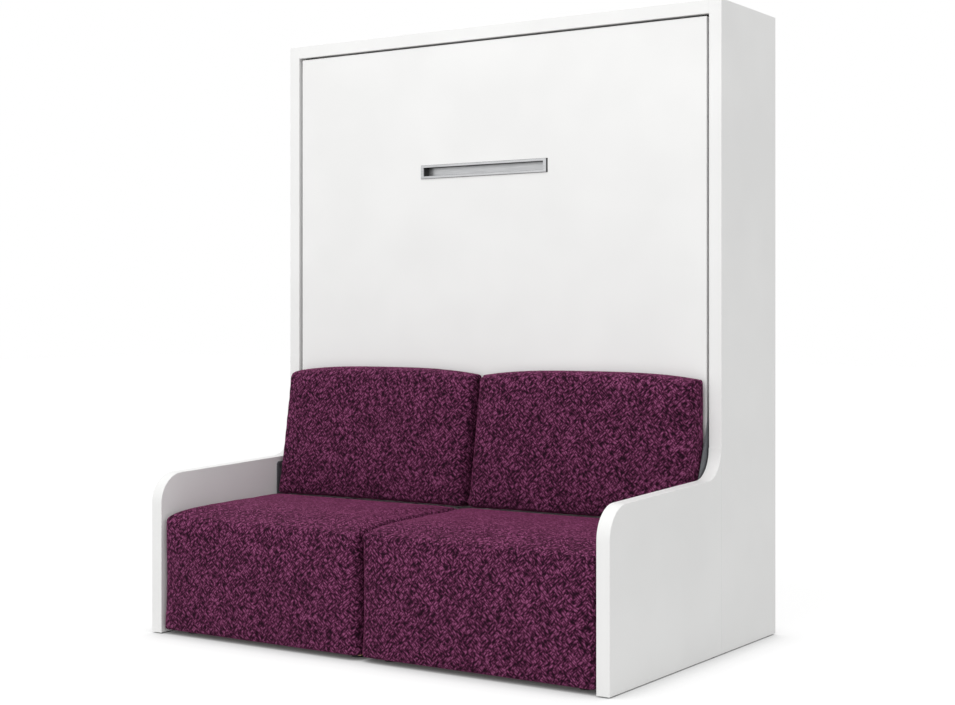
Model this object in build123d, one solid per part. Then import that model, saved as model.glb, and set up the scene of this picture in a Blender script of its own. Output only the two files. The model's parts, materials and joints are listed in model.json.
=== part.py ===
from build123d import *
from math import atan2, cos, degrees, hypot, radians, sin, tan
import os

# A double wall bed that folds up into a white cabinet, with a two-seat sofa standing
# between two arm panels in front of it. Millimetres, X across, +Y to the wall, +Z up.
# The origin is on the floor, in the middle of the whole object.

# Overall sizes and panels
overall_width = 1790
overall_height = 2100
cabinet_depth = 425
arm_reach = 730
panel_thickness = 44
arris = 0.8

# Mattress, and the room left for it inside the cabinet
mattress_thickness = 160
mattress_side_room = 51
mattress_top_room = 28
mattress_lift = 8
door_bottom = 130

# Planes that most pieces are placed from
inner = overall_width / 2 - panel_thickness
under_top = overall_height - panel_thickness
mattress_width = 2 * (inner - mattress_side_room)
mattress_bottom = door_bottom + mattress_lift
mattress_length = under_top - mattress_top_room - mattress_bottom
front = (arm_reach - cabinet_depth) / 2
rear = front + cabinet_depth

# Cabinet
cabinet_glide_height = 4
cabinet_glide_radius = 16
cabinet_glide_inset = 45
back_panel_thickness = 8
back_panel_inset = 8
groove_depth = 8
groove_clearance = 0.5
joint_strip_width = 24
joint_strip_wall = 1.5
rail_thickness = 22
wall_rail_height = 120
lower_rail_bottom = 60
lower_rail_height = 110
plinth_setback = 30
plinth_height = 100
dowel_radius = 5
dowel_length = 50
dowel_inset = 60
rail_dowel_inset = 25
sofa_dowel_inset = 40
connector_length = 60
connector_heights = (70, 230, 390)
wall_hole_radius = 5
wall_hole_spacing_x = 1200
wall_hole_spacing_z = 70

# Arm panels
arm_front_height = 541
arm_top_slope = 2
arm_front_radius = 100
arm_back_radius = 95
arm_lip = 3

# Pivot of the bed, on the arm panel just in front of the cabinet
pivot_forward = 60
pivot_height = 495
pin_radius = 8
pin_grip = 25
pin_head_radius = 12
pin_head_thickness = 3
running_clearance = 0.05
bush_wall = 2
hub_wall = 8
hub_length = 10
pivot_plate_thickness = 3
pivot_plate_front = 70
pivot_plate_back = 100
pivot_plate_below = 75
pivot_plate_above = 50
plate_corner_radius = 12
plate_gap = 1
pivot_arm_thickness = 4
pivot_arm_margin = 8
screw_radius = 2.5
screw_head_radius = 5
screw_length = 30

# Bed: front panel, steel frame, slats and mattress
door_recess = 6
door_thickness = 18
door_side_gap = 11
door_top_gap = 7
frame_depth = 40
frame_bottom_inset = 20
frame_top_inset = 24
rail_width = 30
rail_wall = 2
centre_rail_depth = 20
spacer_length = 35
spacer_radius = 14
spacer_heights = (-40, 120, 300)
arm_end_radius = 18
bolt_radius = 5
bolt_head_radius = 9
slat_count = 14
slat_width = 63
slat_thickness = 8
slat_crown = 9
slat_end_margin = 90
slat_back_gap = 10
holder_length = 26
holder_wall = 3
holder_clearance = 0.3
mattress_corner_radius = 60
mattress_edge_radius = 38
soft_clearance = 0.3
strap_width = 40
strap_thickness = 2
strap_inset = 450
panel_screw_count = 5
panel_screw_inset = 60

# Pull handle let into the front panel
handle_width = 526
handle_height = 47
handle_centre_x = -25
handle_centre_height = 1600
handle_side_border = 12
handle_long_border = 8
handle_proud = 4
handle_depth = 35
handle_wall = 1.5
handle_plate_thickness = 1.5

# Legs that hang beside the foot end of the bed
leg_hinge_inset = 25
leg_width = 44
leg_thickness = 5
leg_side_gap = 2
leg_stud_radius = 7
leg_stud_collar = 5
leg_stud_head_radius = 11
leg_stud_head_thickness = 1.2
leg_foot_height = 14
leg_foot_side = 0.5
leg_foot_overhang = 3
leg_foot_radius = 5
floor_gap = 1

# Gas struts
strut_back = 200
strut_height = 1010
strut_bed_offset = (158, -130)
strut_tube_radius = 11
strut_tube_length = 320
strut_tube_wall = 3
strut_tube_end_wall = 5
strut_gland_length = 8
strut_rod_radius = 5
strut_piston_length = 12
strut_piston_overlap = 22
strut_eye_thickness = 12
strut_eye_gap = 0.5
strut_stud_radius = 5
strut_stud_head_rise = 3
strut_stud_collar_rise = 4
strut_bracket_width = 60
strut_bracket_height = 90
lug_thickness = 4
lug_stud_radius = 6

# Stops that the front panel closes against
stop_width = 30
stop_depth = 26
stop_drop = 18
stop_clearance = 0.2
stop_edge_gap = 2

# Sofa
edge_steps = 4
crown_steps = 4
seat_front_setback = 10
seat_rear_setback = 143
seat_side_gap = 15
seat_middle_gap = 4
seat_front_height = 404
seat_crown_height = 430
seat_rear_height = 427
seat_side_crown = 4
seat_front_radius = 52
seat_rear_radius = 20
seat_draw_in = 9
seat_edge_run = 30
seat_foot_height = 12
seat_foot_radius = 22
seat_foot_inset = 42
seat_crown_back = 30
seat_bolt_radius = 4
seat_bolt_head_radius = 9
seat_bolt_head_thickness = 3
seat_bolt_side_inset = 160
seat_bolt_rises = (50, 200)
seat_foam_side = 20
seat_foam_front = 30
seat_foam_rear = 8
carcass_height = 340
carcass_board = 15
sofa_rail_bottom = 80
sofa_rail_height = 280

# Back cushions on the front panel
cushion_bottom = 431
cushion_top = 880
cushion_bottom_reach = 131
cushion_top_reach = 56
cushion_bulge = 8
cushion_side_crown = 4
cushion_bottom_radius = 16
cushion_top_radius = 26
cushion_draw_in = 9
cushion_edge_run = 34
cushion_side_gap = 25
cushion_middle_gap = 5
board_thickness = 8
board_margin = 30
tape_thickness = 2
tape_width = 50
tape_inset = 20

# Places worked out from the sizes above
pivot_y = front - pivot_forward
door_half = inner - door_side_gap
door_y = front + door_recess
door_back = door_y + door_thickness
door_top = under_top - door_top_gap
frame_back = door_back + frame_depth
frame_mid = door_back + frame_depth / 2
frame_bottom = door_bottom + frame_bottom_inset
frame_top = door_top - frame_top_inset
leg_hinge_height = frame_top - leg_hinge_inset
plate_x = inner - pivot_plate_thickness
arm_x1 = plate_x - plate_gap
arm_x0 = arm_x1 - pivot_arm_thickness
rail_x1 = arm_x0 - spacer_length
rail_x0 = rail_x1 - rail_width
bush_radius = pin_radius + bush_wall
hub_radius = bush_radius + hub_wall
back_panel_y = rear - back_panel_inset - back_panel_thickness
inner_rail_y = back_panel_y - rail_thickness
mattress_y = frame_back + soft_clearance
strut_x = (rail_x1 + lug_thickness + arm_x0) / 2 - 2
eye_x0 = strut_x - strut_eye_thickness / 2
eye_x1 = strut_x + strut_eye_thickness / 2
strut_top = (front + strut_back, strut_height)
strut_end = (pivot_y + strut_bed_offset[0], pivot_height + strut_bed_offset[1])
strut_run = (strut_end[0] - strut_top[0], strut_end[1] - strut_top[1])
strut_length = hypot(*strut_run)
strut_angle = degrees(atan2(strut_run[0], -strut_run[1]))
open_end = (pivot_y - strut_bed_offset[1], pivot_height + strut_bed_offset[0])
open_run = (open_end[0] - strut_top[0], open_end[1] - strut_top[1])
strut_stroke = strut_length - hypot(*open_run)
strut_swing = degrees(atan2(open_run[0], -open_run[1])) - strut_angle
seat_front = front - arm_reach + seat_front_setback
seat_rear = front - seat_rear_setback
seat_outer = inner - seat_side_gap
cushion_outer = inner - cushion_side_gap
cushion_back = door_y - tape_thickness - board_thickness


def block(x0, x1, y0, y1, z0, z1):
    centre = Pos((x0 + x1) / 2, (y0 + y1) / 2, (z0 + z1) / 2)
    return centre * Box(x1 - x0, y1 - y0, z1 - z0)


def bar_x(radius, x0, x1, y, z):
    return Pos((x0 + x1) / 2, y, z) * Rot(0, 90, 0) * Cylinder(radius, x1 - x0)


def bar_y(radius, x, y0, y1, z):
    return Pos(x, (y0 + y1) / 2, z) * Rot(90, 0, 0) * Cylinder(radius, y1 - y0)


def bar_z(radius, x, y, z0, z1):
    return Pos(x, y, (z0 + z1) / 2) * Cylinder(radius, z1 - z0)


def mirrored(shape):
    return mirror(shape, about=Plane.YZ)


def softened(shape):
    return chamfer(shape.edges(), arris)


def save(name, *shapes):
    solids = [solid for shape in shapes for solid in shape.solids()]
    export_step(solids[0] if len(solids) == 1 else Compound(solids), f"parts/{name}.step")


def save_pair(name, right):
    save(f"{name}_right", right)
    save(f"{name}_left", mirrored(right))


# A countersunk screw along +X: its head is flush at x0 and its tip is at x0 + length.
def screw_x(x0, y, z, radius, head_radius, length):
    head_length = head_radius - radius
    head = Pos(x0 + head_length / 2, y, z) * Rot(0, 90, 0) * Cone(head_radius, radius, head_length)
    return head + bar_x(radius, x0, x0 + length, y, z)


# The same screw along -X, for a head on the outer side.
def screw_inward(x0, y, z, radius, head_radius, length):
    return mirrored(screw_x(-x0, y, z, radius, head_radius, length))


# Plate in the YZ plane round several discs, given as (y, z, radius).
def linked_plate(discs, x0, thickness):
    edges = [edge for y, z, radius in discs for edge in (Pos(y, z) * Circle(radius)).edges()]
    return Pos(x0, 0, 0) * extrude(Plane.YZ * make_hull(edges), amount=thickness)


def dowels_x(ys, heights, x=inner):
    return [bar_x(dowel_radius, x - dowel_length / 2, x + dowel_length / 2, y, z)
            for y in ys for z in heights]


top_dowel_ys = (front + dowel_inset, (front + rear) / 2, rear - dowel_inset)
inner_rail_mid = inner_rail_y + rail_thickness / 2
plinth_y = front + plinth_setback
sofa_rail_y = seat_rear
sofa_rail_mid = sofa_rail_y + rail_thickness / 2
plinth_top = cabinet_glide_height + plinth_height


def rail_dowels(y, bottom, top, inset=rail_dowel_inset):
    return dowels_x((y,), (bottom + inset, top - inset))


top_dowels = dowels_x(top_dowel_ys, (overall_height - panel_thickness / 2,))
wall_rail_dowels = rail_dowels(inner_rail_mid, under_top - wall_rail_height, under_top)
lower_rail_dowels = rail_dowels(inner_rail_mid, lower_rail_bottom, lower_rail_bottom + lower_rail_height)
plinth_dowels = rail_dowels(plinth_y + rail_thickness / 2, cabinet_glide_height, plinth_top)
cabinet_dowels = top_dowels + wall_rail_dowels + lower_rail_dowels + plinth_dowels
sofa_rail_top = sofa_rail_bottom + sofa_rail_height
sofa_dowels = rail_dowels(sofa_rail_mid, sofa_rail_bottom, sofa_rail_top, sofa_dowel_inset)
arm_connectors = [bar_y(dowel_radius, inner + panel_thickness / 2, front - connector_length / 2,
                         front + connector_length / 2, z)
                  for z in connector_heights]


# Screw places on the inner face of a side: four for the pivot plate, two for the strut bracket.
def plate_screw_places():
    inset = plate_corner_radius + 3
    ys = (pivot_y - pivot_plate_front + inset, pivot_y + pivot_plate_back - inset)
    zs = (pivot_height - pivot_plate_below + inset, pivot_height + pivot_plate_above - inset)
    return [(y, z) for y in ys for z in zs]


def bracket_screw_places():
    reach = strut_bracket_height / 2 - plate_corner_radius
    return [(strut_top[0], strut_top[1] - reach), (strut_top[0], strut_top[1] + reach)]


plate_screws = [screw_x(plate_x, y, z, screw_radius, screw_head_radius, screw_length)
                for y, z in plate_screw_places() + bracket_screw_places()]


def pivot_pin():
    head_x = arm_x0 - hub_length - running_clearance
    shank = bar_x(pin_radius, head_x, inner + pin_grip, pivot_y, pivot_height)
    return shank + bar_x(pin_head_radius, head_x - pin_head_thickness, head_x, pivot_y, pivot_height)


def cut_from(body, tools):
    for tool in tools:
        body -= tool
    return body


def side_panel():
    body = softened(block(inner, inner + panel_thickness, front, rear, cabinet_glide_height, overall_height))
    groove = block(inner - 1, inner + groove_depth, back_panel_y, back_panel_y + back_panel_thickness,
                   cabinet_glide_height - 1, under_top + groove_depth)
    return cut_from(body, [groove] + cabinet_dowels + arm_connectors + plate_screws)


def top_panel():
    body = softened(block(-inner, inner, front, rear, under_top, overall_height))
    groove = block(-inner, inner, back_panel_y, back_panel_y + back_panel_thickness,
                   under_top - 1, under_top + groove_depth)
    return cut_from(body, [groove] + top_dowels + [mirrored(dowel) for dowel in top_dowels])


def wall_holes():
    half_x = wall_hole_spacing_x / 2
    half_z = wall_hole_spacing_z / 2
    middle = under_top - wall_rail_height / 2
    return [bar_y(wall_hole_radius, x, inner_rail_y - 1, rear, z)
            for x in (-half_x, half_x) for z in (middle - half_z, middle + half_z)]


def back_panel():
    half_web = joint_strip_wall + groove_clearance / 2
    body = block(half_web, inner + groove_depth - groove_clearance, back_panel_y,
                 back_panel_y + back_panel_thickness, cabinet_glide_height,
                 under_top + groove_depth - groove_clearance)
    return cut_from(body, wall_holes())


def back_joint_strip():
    half = joint_strip_width / 2
    y0 = back_panel_y
    y1 = back_panel_y + back_panel_thickness
    flanges = [block(-half, half, y0 - joint_strip_wall, y0, lower_rail_bottom + lower_rail_height,
                     under_top - wall_rail_height),
               block(-half, half, y1, y1 + joint_strip_wall, cabinet_glide_height, under_top)]
    web = block(-joint_strip_wall, joint_strip_wall, y0, y1, cabinet_glide_height, under_top)
    return web + flanges[0] + flanges[1]


def cross_rail(y0, z0, height, dowels):
    body = softened(block(-inner, inner, y0, y0 + rail_thickness, z0, z0 + height))
    return cut_from(body, dowels + [mirrored(dowel) for dowel in dowels])


def arm_panel():
    reach_y = front - arm_reach
    slope = tan(radians(arm_top_slope))
    lip_y = front - arm_lip
    lip_z = arm_front_height + slope * (arm_reach - arm_lip)
    turn = radians(90 - arm_top_slope)
    top_z = lip_z + arm_back_radius * tan(turn / 2) + arm_lip
    outline = Polyline((front, cabinet_glide_height), (reach_y, cabinet_glide_height),
                       (reach_y, arm_front_height), (lip_y, lip_z), (lip_y, top_z), (front, top_z),
                       close=True)
    face = make_face(outline)
    corners = face.vertices()
    face = fillet(corners.sort_by_distance((reach_y, arm_front_height))[0], arm_front_radius)
    inner_corner = face.vertices().sort_by_distance((lip_y, lip_z))
    crossing = [v for v in inner_corner if abs(v.X - lip_y) < 0.01 and abs(v.Y - lip_z) < 0.01][0]
    face = fillet(crossing, arm_back_radius)
    body = Pos(inner, 0, 0) * extrude(Plane.YZ * face, amount=panel_thickness)
    sides = body.faces().sort_by(Axis.X)
    body = chamfer(sides[0].edges() + sides[-1].edges(), arris)
    pin = bar_x(pin_radius, inner - 1, inner + pin_grip, pivot_y, pivot_height)
    return cut_from(body, [pin] + sofa_dowels + arm_connectors + plate_screws)


def cabinet_glides():
    x = inner + panel_thickness / 2
    inset = cabinet_glide_inset
    ys = (front - arm_reach + inset, front - inset, front + inset, rear - inset)
    return [bar_z(cabinet_glide_radius, side * x, y, 0, cabinet_glide_height)
            for side in (-1, 1) for y in ys]


def rounded_plate(y0, y1, z0, z1, x0, thickness):
    sheet = Pos((y0 + y1) / 2, (z0 + z1) / 2) * RectangleRounded(y1 - y0, z1 - z0, plate_corner_radius)
    return Pos(x0, 0, 0) * extrude(Plane.YZ * sheet, amount=thickness)


def pivot_plate():
    body = rounded_plate(pivot_y - pivot_plate_front, pivot_y + pivot_plate_back,
                         pivot_height - pivot_plate_below, pivot_height + pivot_plate_above,
                         plate_x, pivot_plate_thickness)
    return cut_from(body, [pivot_pin()] + plate_screws)


def strut_bracket():
    y, z = strut_top
    body = rounded_plate(y - strut_bracket_width / 2, y + strut_bracket_width / 2,
                         z - strut_bracket_height / 2, z + strut_bracket_height / 2,
                         plate_x, pivot_plate_thickness)
    stud_end = eye_x0 - strut_eye_gap
    body += bar_x(strut_stud_radius, stud_end, plate_x, y, z)
    body += bar_x(strut_stud_radius + strut_stud_head_rise, stud_end - 2, stud_end, y, z)
    body += bar_x(strut_stud_radius + strut_stud_collar_rise, eye_x1 + strut_eye_gap, plate_x, y, z)
    return cut_from(body, plate_screws)


def door_stop():
    y0 = door_back + stop_clearance
    x1 = door_half - stop_edge_gap
    body = block(x1 - stop_width, x1, y0, y0 + stop_depth, under_top - stop_drop, under_top)
    lower = body.edges().group_by(Axis.Z)[0]
    return fillet(lower, 4)


# Evenly spaced heights along the frame, from one inset end to the other.
def frame_heights(count, inset):
    step = (frame_top - frame_bottom - 2 * inset) / (count - 1)
    return [frame_bottom + inset + i * step for i in range(count)]


def panel_screws():
    x = rail_x1 - rail_width / 2
    tip = door_back - door_thickness * 0.6
    head_length = screw_head_radius - screw_radius
    screws = []
    cone = Rot(-90, 0, 0) * Cone(screw_radius, screw_head_radius, head_length)
    for z in frame_heights(panel_screw_count, panel_screw_inset):
        head = Pos(x, frame_back - head_length / 2, z) * cone
        screws.append(head + bar_y(screw_radius, x, tip, frame_back, z))
    return screws


def front_panel():
    body = softened(block(-door_half, door_half, door_y, door_back, door_bottom, door_top))
    slot = handle_opening(door_y - 1, door_back + 1, handle_wall)
    screws = panel_screws()
    return cut_from(body, [slot] + screws + [mirrored(screw) for screw in screws])


def handle_opening(y0, y1, wall=0):
    half = handle_width / 2 - handle_side_border + wall
    rise = handle_height / 2 - handle_long_border + wall
    return block(handle_centre_x - half, handle_centre_x + half, y0, y1,
                 handle_centre_height - rise, handle_centre_height + rise)


def handle_rim():
    body = block(handle_centre_x - handle_width / 2, handle_centre_x + handle_width / 2,
                 door_y - handle_proud, door_y, handle_centre_height - handle_height / 2, handle_centre_height + handle_height / 2)
    body = chamfer(body.edges().group_by(Axis.Y)[0], arris)
    return body - handle_opening(door_y - handle_proud - 1, door_y + 1)


def handle_tray():
    tray = handle_opening(door_y, door_y - handle_proud + handle_depth + handle_wall, handle_wall)
    return tray - handle_opening(door_y - 1, door_y - handle_proud + handle_depth)


def handle_plate():
    floor_y = door_y - handle_proud + handle_depth
    return handle_opening(floor_y - handle_plate_thickness, floor_y, -soft_clearance)


def frame_tube(x0, x1, y0, y1, z0, z1, along):
    outer = block(x0, x1, y0, y1, z0, z1)
    if along == "z":
        bore = block(x0 + rail_wall, x1 - rail_wall, y0 + rail_wall, y1 - rail_wall, z0 - 1, z1 + 1)
    else:
        bore = block(x0 - 1, x1 + 1, y0 + rail_wall, y1 - rail_wall, z0 + rail_wall, z1 - rail_wall)
    return outer - bore


def arm_bolts():
    return [screw_inward(arm_x1, frame_mid, pivot_height + rise, bolt_radius, bolt_head_radius,
                         arm_x1 - rail_x1 + rail_width / 2) for rise in spacer_heights]


def bed_side_rail():
    body = frame_tube(rail_x0, rail_x1, door_back, frame_back, frame_bottom, frame_top, "z")
    stud_hole = bar_x(leg_stud_radius, rail_x0 + rail_wall, rail_x1 + 1, frame_mid, leg_hinge_height)
    return cut_from(body, arm_bolts() + panel_screws() + [stud_hole])


def end_rail(z0):
    return frame_tube(-rail_x0, rail_x0, door_back, frame_back, z0, z0 + rail_width, "x")


def centre_rail():
    return frame_tube(-rail_width / 2, rail_width / 2, frame_back - centre_rail_depth, frame_back,
                      frame_bottom + rail_width, frame_top - rail_width, "z")


slat_x0 = rail_width / 2 + 2
slat_x1 = rail_x0 - 2
slat_base = frame_back - slat_back_gap - slat_thickness
slat_zs = frame_heights(slat_count, slat_end_margin)


# Outline of one bowed slat in the XY plane, grown by a clearance for the holders.
def slat_outline(grow=0.0):
    middle = (slat_x0 + slat_x1) / 2
    low = slat_base - grow
    high = slat_base + slat_thickness + grow
    under = ThreePointArc((slat_x0 - grow, low), (middle, low + slat_crown), (slat_x1 + grow, low))
    over = ThreePointArc((slat_x1 + grow, high), (middle, high + slat_crown), (slat_x0 - grow, high))
    return make_face(Curve() + [under, Line(under @ 1, over @ 0), over, Line(over @ 1, under @ 0)])


def slat(z):
    return Pos(0, 0, z - slat_width / 2) * extrude(slat_outline(), amount=slat_width)


def slat_holder(x0, x1, z):
    half = slat_width / 2 + holder_wall
    y1 = slat_base + slat_thickness + holder_wall
    body = block(x0, x1, slat_base - holder_wall, y1, z - half, z + half)
    room = Pos(0, 0, z - slat_width / 2 - holder_clearance) * extrude(
        slat_outline(holder_clearance), amount=slat_width + 2 * holder_clearance)
    return body - room


def slats_and_holders():
    slats, holders = [], []
    first = slat(slat_zs[0])
    first_holders = [slat_holder(rail_width / 2, rail_width / 2 + holder_length, slat_zs[0]),
                     slat_holder(rail_x0 - holder_length, rail_x0, slat_zs[0])]
    for z in slat_zs:
        step = Pos(0, 0, z - slat_zs[0])
        for piece in (step * first, mirrored(step * first)):
            slats.append(piece)
        for holder in first_holders:
            holders += [step * holder, mirrored(step * holder)]
    return slats, holders


def mattress():
    body = block(-mattress_width / 2, mattress_width / 2, mattress_y, mattress_y + mattress_thickness,
                 mattress_bottom, mattress_bottom + mattress_length)
    body = fillet(body.edges().filter_by(Axis.Y), mattress_corner_radius)
    return fillet(body.edges().group_by(Axis.Y)[0] + body.edges().group_by(Axis.Y)[-1], mattress_edge_radius)


# Elastic strap over the mattress, from one side rail to the other.
def mattress_strap(z):
    half = mattress_width / 2 + soft_clearance
    y1 = mattress_y + mattress_thickness + soft_clearance
    radius = mattress_edge_radius + soft_clearance
    shapes = []
    for grow in (0, strap_thickness):
        sheet = Pos(0, (frame_back + y1 + grow) / 2) * Rectangle(2 * (half + grow), y1 + grow - frame_back)
        far = sheet.vertices().group_by(Axis.Y)[-1]
        sheet = fillet(far, radius + grow)
        shapes.append(sheet)
    band = shapes[1] - shapes[0]
    return Pos(0, 0, z - strap_width / 2) * extrude(band, amount=strap_width)


def pivot_arm():
    discs = [(pivot_y, pivot_height, hub_radius + pivot_arm_margin),
             (frame_mid, pivot_height + spacer_heights[0], arm_end_radius),
             (frame_mid, pivot_height + spacer_heights[-1], arm_end_radius)]
    body = linked_plate(discs, arm_x0, pivot_arm_thickness)
    body += bar_x(hub_radius, arm_x0 - hub_length, arm_x0, pivot_y, pivot_height)
    bore = bar_x(bush_radius, arm_x0 - hub_length - 1, arm_x1 + 1, pivot_y, pivot_height)
    return cut_from(body, [bore] + arm_bolts())


def pivot_bush():
    x0 = arm_x0 - hub_length
    sleeve = bar_x(bush_radius, x0, arm_x1, pivot_y, pivot_height)
    return sleeve - bar_x(pin_radius + running_clearance, x0 - 1, arm_x1 + 1, pivot_y, pivot_height)


def arm_spacers():
    return [bar_x(spacer_radius, rail_x1, arm_x0, frame_mid, pivot_height + rise)
            - bar_x(bolt_radius, rail_x1 - 1, arm_x0 + 1, frame_mid, pivot_height + rise)
            for rise in spacer_heights]


leg_x1 = inner - leg_side_gap
leg_x0 = leg_x1 - leg_thickness
leg_drop = pivot_height + frame_mid - pivot_y - floor_gap


def leg_stud():
    y, z = frame_mid, leg_hinge_height
    head_x = leg_x1 + running_clearance * 2
    body = bar_x(leg_stud_radius, rail_x0 + rail_wall, head_x, y, z)
    body += bar_x(leg_stud_radius + leg_stud_collar, rail_x1, leg_x0 - running_clearance * 4, y, z)
    return body + bar_x(leg_stud_head_radius, head_x, head_x + leg_stud_head_thickness, y, z)


def leg():
    half = leg_width / 2
    bottom = leg_hinge_height - leg_drop + leg_foot_height
    sheet = Pos(frame_mid, (bottom + leg_hinge_height) / 2) * Rectangle(leg_width, leg_hinge_height - bottom)
    sheet += Pos(frame_mid, leg_hinge_height) * Circle(half)
    sheet -= Pos(frame_mid, leg_hinge_height) * Circle(leg_stud_radius + running_clearance)
    return Pos(leg_x0, 0, 0) * extrude(Plane.YZ * sheet, amount=leg_thickness)


def leg_foot():
    half = leg_width / 2 + leg_foot_overhang
    bottom = leg_hinge_height - leg_drop
    pad = RectangleRounded(2 * half, leg_foot_height, leg_foot_radius)
    sheet = Plane.YZ * (Pos(frame_mid, bottom + leg_foot_height / 2) * pad)
    return Pos(leg_x0 - leg_foot_side, 0, 0) * extrude(sheet, amount=leg_thickness + 2 * leg_foot_side)


# A strut piece is drawn hanging from its upper eye and then swung into place.
def placed_strut(shape):
    return Pos(strut_x, *strut_top) * Rot(strut_angle, 0, 0) * shape


def strut_cylinder():
    tube = bar_z(strut_tube_radius, 0, 0, -strut_tube_length, 0)
    eye = bar_x(strut_tube_radius, -strut_eye_thickness / 2, strut_eye_thickness / 2, 0, 0)
    neck = block(-strut_tube_radius, strut_tube_radius, -strut_tube_radius, strut_tube_radius,
                 -strut_tube_radius, strut_tube_radius)
    keep = block(-strut_eye_thickness / 2, strut_eye_thickness / 2, -strut_tube_radius, strut_tube_radius,
                 -strut_tube_radius, strut_tube_radius)
    body = (tube - neck) + (tube & keep) + eye
    bore = bar_z(strut_tube_radius - strut_tube_wall, 0, 0, -strut_tube_length + strut_gland_length,
                 -strut_tube_radius - strut_tube_end_wall)
    gland = bar_z(strut_rod_radius + running_clearance, 0, 0, -strut_tube_length - 1,
                  -strut_tube_length + strut_gland_length + 1)
    stud = bar_x(strut_stud_radius + running_clearance, -strut_tube_radius, strut_tube_radius, 0, 0)
    return placed_strut(body - bore - gland - stud)


def strut_rod():
    top = -strut_tube_length + strut_gland_length + strut_piston_overlap
    eye_wall_middle = (lug_stud_radius + strut_tube_radius) / 2
    rod = bar_z(strut_rod_radius, 0, 0, eye_wall_middle - strut_length, top)
    piston = bar_z(strut_tube_radius - strut_tube_wall - 0.1, 0, 0, top - strut_piston_length, top)
    eye = bar_x(strut_tube_radius, -strut_eye_thickness / 2, strut_eye_thickness / 2, 0, -strut_length)
    half = strut_eye_thickness / 2 + 1
    hole = bar_x(lug_stud_radius + running_clearance, -half, half, 0, -strut_length)
    return placed_strut(rod + piston + eye - hole)


def strut_lug():
    y, z = strut_end
    body = linked_plate([(frame_mid, z, arm_end_radius), (y, z, arm_end_radius - 4)], rail_x1, lug_thickness)
    return body + bar_x(lug_stud_radius, rail_x1 + lug_thickness, eye_x0 - strut_eye_gap, y, z)


# Section of a seat in the YZ plane. The edge sections are lower and set back by draw.
def seat_section(x, draw):
    y0 = seat_front + draw
    y1 = seat_rear
    rise = -draw
    bottom = seat_foot_height
    radius = seat_front_radius
    turn = radians(82)
    corner_z = seat_front_height + rise - radius * sin(turn)
    a = (y0, corner_z)
    b = (y0 + radius * (1 - cos(turn / 2)), corner_z + radius * sin(turn / 2))
    c = (y0 + radius * (1 - cos(turn)), seat_front_height + rise)
    d = ((y0 + y1) / 2 + seat_crown_back, seat_crown_height + rise)
    rear_z = seat_rear_height + rise
    e = (y1 - seat_rear_radius, rear_z)
    half = radians(45)
    f = (y1 - seat_rear_radius * (1 - sin(half)), rear_z - seat_rear_radius * (1 - cos(half)))
    g = (y1, rear_z - seat_rear_radius)
    edges = [Line((y0, bottom), a), ThreePointArc(a, b, c), ThreePointArc(c, d, e), ThreePointArc(e, f, g),
             Line(g, (y1, bottom)), Line((y1, bottom), (y0, bottom))]
    return Pos(x, 0, 0) * (Plane.YZ * make_face(Curve() + edges))


# Sections across a cushion: a quarter ellipse in from each side, then a shallow crown.
def padded_form(x0, x1, run, draw, crown, section):
    places = []
    for i in range(edge_steps):
        turn = radians(90) * i / edge_steps
        places.append((run * (1 - cos(turn)), draw * (1 - sin(turn))))
    span = x1 - x0 - 2 * run
    for i in range(crown_steps + 1):
        share = i / crown_steps
        places.append((run + span * share, -4 * crown * share * (1 - share)))
    left_edge = [(x1 - x0 - along, amount) for along, amount in reversed(places[:edge_steps])]
    return loft([section(x0 + along, amount) for along, amount in places + left_edge], ruled=True)


def seat_box():
    return (seat_middle_gap + seat_foam_side, seat_outer - seat_foam_side, seat_front + seat_foam_front,
            seat_rear - seat_foam_rear, seat_foot_height, seat_foot_height + carcass_height)


def seat_upholstery():
    form = padded_form(seat_middle_gap, seat_outer, seat_edge_run, seat_draw_in,
                       seat_side_crown, seat_section)
    x0, x1, y0, y1, z0, z1 = seat_box()
    return cut_from(form, [block(x0, x1, y0, y1, z0 - 1, z1)] + seat_bolts())


def seat_bolts():
    tip = seat_rear - seat_foam_rear - carcass_board
    y = sofa_rail_y + rail_thickness
    head_y = y + seat_bolt_head_thickness
    return [bar_y(seat_bolt_radius, x, tip, y, sofa_rail_bottom + rise)
            + bar_y(seat_bolt_head_radius, x, y, head_y, sofa_rail_bottom + rise)
            for x in (seat_middle_gap + seat_bolt_side_inset, seat_outer - seat_bolt_side_inset)
            for rise in seat_bolt_rises]


def seat_carcass():
    x0, x1, y0, y1, z0, z1 = seat_box()
    t = carcass_board
    top = block(x0, x1, y0, y1, z1 - t, z1)
    base = block(x0, x1, y0, y1, z0, z0 + t)
    front_board = block(x0, x1, y0, y0 + t, z0 + t, z1 - t)
    rear_board = block(x0, x1, y1 - t, y1, z0 + t, z1 - t)
    ends = [block(x, x + t, y0 + t, y1 - t, z0 + t, z1 - t) for x in (x0, x1 - t)]
    return [top, base, front_board, cut_from(rear_board, seat_bolts())] + ends


def seat_feet():
    x0, x1, y0, y1, z0, z1 = seat_box()
    inset = seat_foot_inset
    return [bar_z(seat_foot_radius, x, y, 0, seat_foot_height)
            for x in (x0 + inset, x1 - inset) for y in (y0 + inset, y1 - inset)]


def sofa_rail():
    holes = seat_bolts()
    return cross_rail(sofa_rail_y, sofa_rail_bottom, sofa_rail_height, sofa_dowels + holes)


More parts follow.
